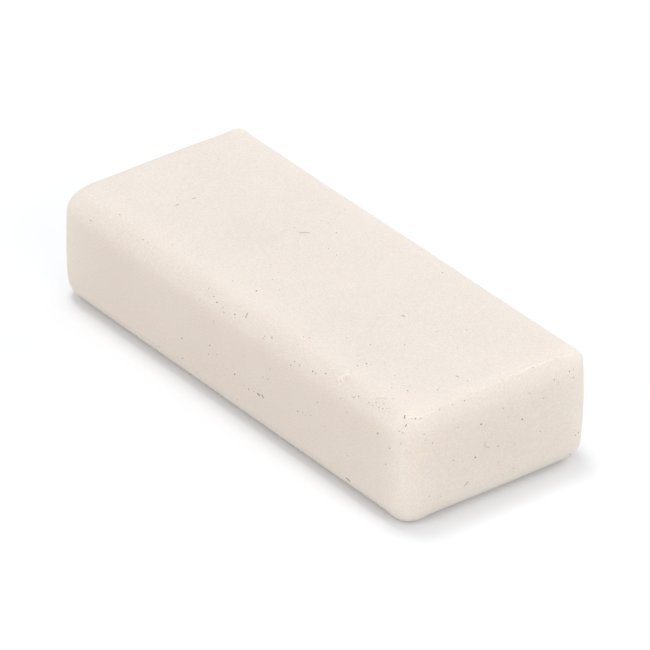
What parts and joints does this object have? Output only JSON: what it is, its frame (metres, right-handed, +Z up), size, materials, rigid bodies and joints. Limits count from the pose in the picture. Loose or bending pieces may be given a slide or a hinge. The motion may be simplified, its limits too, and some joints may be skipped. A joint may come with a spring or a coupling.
{
  "type": "thermoplastic rubber eraser",
  "caption": "Plain block eraser in cream-white thermoplastic rubber, with every edge and corner softly rounded.",
  "frame": {"origin": "on the base, under the middle of the block", "axes": "+X along the block's length towards the end with the fine moulding line, +Y across its width, +Z up from the base"},
  "size_m": [0.058, 0.024, 0.013],
  "materials": {
    "eraser_rubber": "soft matt moulded thermoplastic rubber, cream white"
  },
  "bodies": {
    "root": {"eraser_block": "eraser_rubber"}
  },
  "joints": []
}
